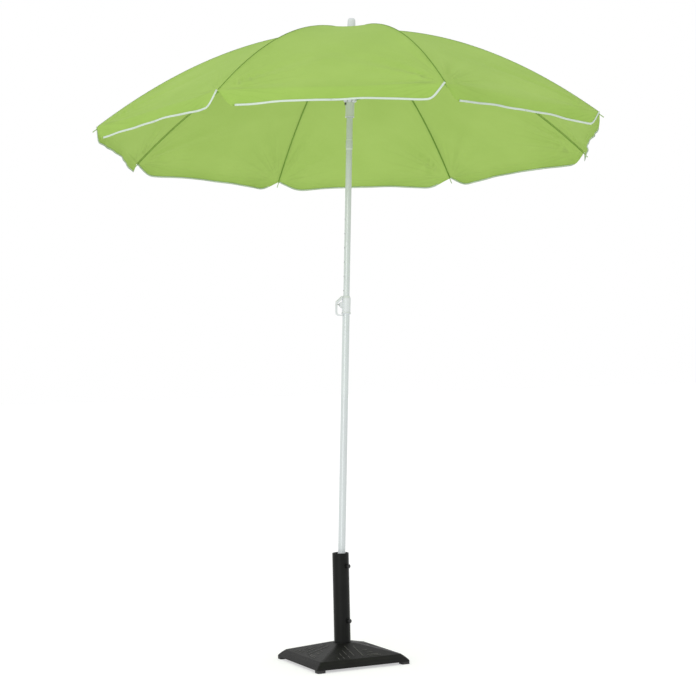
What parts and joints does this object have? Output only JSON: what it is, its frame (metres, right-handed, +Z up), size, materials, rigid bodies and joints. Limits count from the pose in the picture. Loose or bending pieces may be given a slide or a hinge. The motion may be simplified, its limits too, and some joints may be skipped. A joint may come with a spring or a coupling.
{
  "type": "garden parasol with base",
  "caption": "Garden parasol on a square cast base: folding ribbed canopy with valance, tilt joint and height-adjustable pole.",
  "frame": {"origin": "centre of the base at floor level, on the underside of the centre pad", "axes": "+Z up along the base tube; X and Y along the base's sides; the locking pin and finger loop face -X"},
  "size_m": [1.8151, 1.8133, 2.2376],
  "materials": {
    "base_casting": "satin black enamel",
    "black_steel": "satin black paint",
    "black_rubber": "matte",
    "screw_black": "black oxide",
    "plated_steel": "zinc plated",
    "white_pole": "gloss white paint",
    "white_plastic": "moulded, satin",
    "grey_plastic": "moulded, satin",
    "rib_steel": "galvanised wire",
    "canopy_fabric": "plain woven polyester"
  },
  "bodies": {
    "base": {"base_plate": "base_casting", "base_feet": "black_rubber", "base_tube": "black_steel", "screw_bosses": "black_steel", "tube_plug": "black_steel", "fixing_washer": "plated_steel", "fixing_bolt": "plated_steel"},
    "pole_foot": {"pole_foot": "white_plastic"},
    "lower_pole": {"lower_pole": "white_pole", "pole_band": "white_plastic", "height_collar": "white_plastic", "lock_spring": "plated_steel"},
    "lock_trigger": {"finger_loop": "white_plastic", "lock_pin": "plated_steel"},
    "upper_pole": {"upper_pole": "white_pole", "upper_pole_bush": "white_plastic", "tilt_fork": "white_plastic", "tilt_pin": "plated_steel"},
    "tilt_sleeve": {"tilt_sleeve": "white_pole"},
    "top_pole": {"tilt_tongue": "white_plastic", "top_pole": "white_pole", "crown": "white_plastic", "crown_pins": "plated_steel", "fabric_washer": "white_plastic", "finial": "white_plastic"},
    "runner": {"runner": "white_plastic", "runner_pins": "plated_steel"},
    "runner_catch": {"runner_catch": "grey_plastic"},
    "upper_screw_shank": {"upper_screw_stud": "plated_steel"},
    "upper_screw_head": {"upper_screw_head": "screw_black"},
    "lower_screw_shank": {"lower_screw_stud": "plated_steel"},
    "lower_screw_head": {"lower_screw_head": "screw_black"},
    "rib_1": {"rib_1": "rib_steel", "canopy_panel_1": "canopy_fabric"},
    "stretcher_1": {"stretcher_1": "rib_steel"},
    "rib_2": {"rib_2": "rib_steel", "canopy_panel_2": "canopy_fabric"},
    "stretcher_2": {"stretcher_2": "rib_steel"},
    "rib_3": {"rib_3": "rib_steel", "canopy_panel_3": "canopy_fabric"},
    "stretcher_3": {"stretcher_3": "rib_steel"},
    "rib_4": {"rib_4": "rib_steel", "canopy_panel_4": "canopy_fabric"},
    "stretcher_4": {"stretcher_4": "rib_steel"},
    "rib_5": {"rib_5": "rib_steel", "canopy_panel_5": "canopy_fabric"},
    "stretcher_5": {"stretcher_5": "rib_steel"},
    "rib_6": {"rib_6": "rib_steel", "canopy_panel_6": "canopy_fabric"},
    "stretcher_6": {"stretcher_6": "rib_steel"},
    "rib_7": {"rib_7": "rib_steel", "canopy_panel_7": "canopy_fabric"},
    "stretcher_7": {"stretcher_7": "rib_steel"},
    "rib_8": {"rib_8": "rib_steel", "canopy_panel_8": "canopy_fabric"},
    "stretcher_8": {"stretcher_8": "rib_steel"}
  },
  "joints": [
    {"name": "upper_screw_travel", "type": "slide", "parent": "base", "child": "upper_screw_shank", "axis": [0.342, -0.9397, 0], "range_m": [0, 0.01]},
    {"name": "upper_screw_turn", "type": "hinge", "parent": "upper_screw_shank", "child": "upper_screw_head", "pos_m": [0, 0, 0.328], "axis": [0.342, -0.9397, 0], "range_deg": [0, 2881]},
    {"name": "lower_screw_travel", "type": "slide", "parent": "base", "child": "lower_screw_shank", "axis": [0.342, -0.9397, 0], "range_m": [0, 0.01]},
    {"name": "lower_screw_turn", "type": "hinge", "parent": "lower_screw_shank", "child": "lower_screw_head", "pos_m": [0, 0, 0.1405], "axis": [0.342, -0.9397, 0], "range_deg": [0, 2881]},
    {"name": "pole_lift", "type": "slide", "parent": "base", "child": "pole_foot", "axis": [0.0636, 0.0397, 0.9972], "range_m": [0, 0.25]},
    {"name": "pole_spin", "type": "hinge", "parent": "pole_foot", "child": "lower_pole", "pos_m": [0.00678, 0.00424, 0.372], "axis": [0.0636, 0.0397, 0.9972], "continuous": true},
    {"name": "lock_pull", "type": "slide", "parent": "lower_pole", "child": "lock_trigger", "axis": [-0.9967, 0.0523, 0.0615], "range_m": [0, 0.0045], "stiffness_N_per_m": 1500, "springref_m": -0.002, "deforming": ["lock_spring"]},
    {"name": "pole_height", "type": "slide", "parent": "lower_pole", "child": "upper_pole", "axis": [0.0636, 0.0397, 0.9972], "range_m": [-0.3, 0]},
    {"name": "canopy_tilt", "type": "hinge", "parent": "upper_pole", "child": "top_pole", "pos_m": [0.09723, 0.06076, 1.7905], "axis": [0.0497, 0.9978, -0.0429], "range_deg": [-40, 0]},
    {"name": "tilt_sleeve_slide", "type": "slide", "parent": "upper_pole", "child": "tilt_sleeve", "axis": [-0.0636, -0.0397, -0.9972], "range_m": [0, 0.0301]},
    {"name": "runner_slide", "type": "slide", "parent": "top_pole", "child": "runner", "axis": [-0.0636, -0.0397, -0.9972], "range_m": [0, 0.59684], "deforming": ["canopy_panel_1", "canopy_panel_2", "canopy_panel_3", "canopy_panel_4", "canopy_panel_5", "canopy_panel_6", "canopy_panel_7", "canopy_panel_8"]},
    {"name": "runner_catch_pull", "type": "slide", "parent": "runner", "child": "runner_catch", "axis": [-0.9928, 0.1044, 0.0591], "range_m": [0, 0.003], "stiffness_N_per_m": 1500, "springref_m": -0.001},
    {"name": "rib_1_fold", "type": "hinge", "parent": "top_pole", "child": "rib_1", "pos_m": [0.14003, 0.07416, 2.18084], "axis": [0.1191, 0.9918, -0.0471], "range_deg": [0, 67.54]},
    {"name": "stretcher_1_fold", "type": "hinge", "parent": "runner", "child": "stretcher_1", "pos_m": [0.12595, 0.06462, 1.94445], "axis": [0.1191, 0.9918, -0.0471], "range_deg": [-58.72, 0]},
    {"name": "rib_2_fold", "type": "hinge", "parent": "top_pole", "child": "rib_2", "pos_m": [0.13632, 0.08743, 2.18055], "axis": [-0.6164, 0.7874, 0.0079], "range_deg": [0, 66.56]},
    {"name": "stretcher_2_fold", "type": "hinge", "parent": "runner", "child": "stretcher_2", "pos_m": [0.12203, 0.07863, 1.94414], "axis": [-0.6164, 0.7874, 0.0079], "range_deg": [-59.67, 0]},
    {"name": "rib_3_fold", "type": "hinge", "parent": "top_pole", "child": "rib_3", "pos_m": [0.12434, 0.09421, 2.18104], "axis": [-0.9908, 0.1218, 0.0583], "range_deg": [0, 62.66]},
    {"name": "stretcher_3_fold", "type": "hinge", "parent": "runner", "child": "stretcher_3", "pos_m": [0.10939, 0.08578, 1.94466], "axis": [-0.9908, 0.1218, 0.0583], "range_deg": [-59.07, 0]},
    {"name": "rib_4_fold", "type": "hinge", "parent": "top_pole", "child": "rib_4", "pos_m": [0.1111, 0.09053, 2.18203], "axis": [-0.7849, -0.6152, 0.0746], "range_deg": [0, 59.89]},
    {"name": "stretcher_4_fold", "type": "hinge", "parent": "runner", "child": "stretcher_4", "pos_m": [0.09541, 0.0819, 1.94571], "axis": [-0.7849, -0.6152, 0.0746], "range_deg": [-58.87, 0]},
    {"name": "rib_5_fold", "type": "hinge", "parent": "top_pole", "child": "rib_5", "pos_m": [0.10436, 0.07855, 2.18294], "axis": [-0.1191, -0.9918, 0.0471], "range_deg": [0, 59.5]},
    {"name": "stretcher_5_fold", "type": "hinge", "parent": "runner", "child": "stretcher_5", "pos_m": [0.0883, 0.06925, 1.94667], "axis": [-0.1191, -0.9918, 0.0471], "range_deg": [-58.85, 0]},
    {"name": "rib_6_fold", "type": "hinge", "parent": "top_pole", "child": "rib_6", "pos_m": [0.10806, 0.06528, 2.18323], "axis": [0.6164, -0.7874, -0.0079], "range_deg": [0, 61.66]},
    {"name": "stretcher_6_fold", "type": "hinge", "parent": "runner", "child": "stretcher_6", "pos_m": [0.09221, 0.05525, 1.94697], "axis": [0.6164, -0.7874, -0.0079], "range_deg": [-58.98, 0]},
    {"name": "rib_7_fold", "type": "hinge", "parent": "top_pole", "child": "rib_7", "pos_m": [0.12005, 0.0585, 2.18274], "axis": [0.9908, -0.1218, -0.0583], "range_deg": [0, 65.43]},
    {"name": "stretcher_7_fold", "type": "hinge", "parent": "runner", "child": "stretcher_7", "pos_m": [0.10486, 0.04809, 1.94645], "axis": [0.9908, -0.1218, -0.0583], "range_deg": [-59.45, 0]},
    {"name": "rib_8_fold", "type": "hinge", "parent": "top_pole", "child": "rib_8", "pos_m": [0.13329, 0.06218, 2.18175], "axis": [0.7849, 0.6152, -0.0746], "range_deg": [0, 67.37]},
    {"name": "stretcher_8_fold", "type": "hinge", "parent": "runner", "child": "stretcher_8", "pos_m": [0.11883, 0.05198, 1.94541], "axis": [0.7849, 0.6152, -0.0746], "range_deg": [-58.9, 0]}
  ],
  "couplings": [
    {"joint": "upper_screw_turn", "follows": "upper_screw_travel", "rad_per_m": 5026.5},
    {"joint": "lower_screw_turn", "follows": "lower_screw_travel", "rad_per_m": 5026.5},
    {"joint": "tilt_sleeve_slide", "follows": "canopy_tilt", "m_per_rad": -0.042972},
    {"joint": "rib_1_fold", "follows": "runner_slide", "rad_per_m": 1.9747},
    {"joint": "stretcher_1_fold", "follows": "runner_slide", "rad_per_m": -1.7169},
    {"joint": "rib_2_fold", "follows": "runner_slide", "rad_per_m": 1.9461},
    {"joint": "stretcher_2_fold", "follows": "runner_slide", "rad_per_m": -1.7446},
    {"joint": "rib_3_fold", "follows": "runner_slide", "rad_per_m": 1.8319},
    {"joint": "stretcher_3_fold", "follows": "runner_slide", "rad_per_m": -1.7271},
    {"joint": "rib_4_fold", "follows": "runner_slide", "rad_per_m": 1.751},
    {"joint": "stretcher_4_fold", "follows": "runner_slide", "rad_per_m": -1.7211},
    {"joint": "rib_5_fold", "follows": "runner_slide", "rad_per_m": 1.7397},
    {"joint": "stretcher_5_fold", "follows": "runner_slide", "rad_per_m": -1.7207},
    {"joint": "rib_6_fold", "follows": "runner_slide", "rad_per_m": 1.8029},
    {"joint": "stretcher_6_fold", "follows": "runner_slide", "rad_per_m": -1.7244},
    {"joint": "rib_7_fold", "follows": "runner_slide", "rad_per_m": 1.9131},
    {"joint": "stretcher_7_fold", "follows": "runner_slide", "rad_per_m": -1.7383},
    {"joint": "rib_8_fold", "follows": "runner_slide", "rad_per_m": 1.9699},
    {"joint": "stretcher_8_fold", "follows": "runner_slide", "rad_per_m": -1.7222}
  ]
}
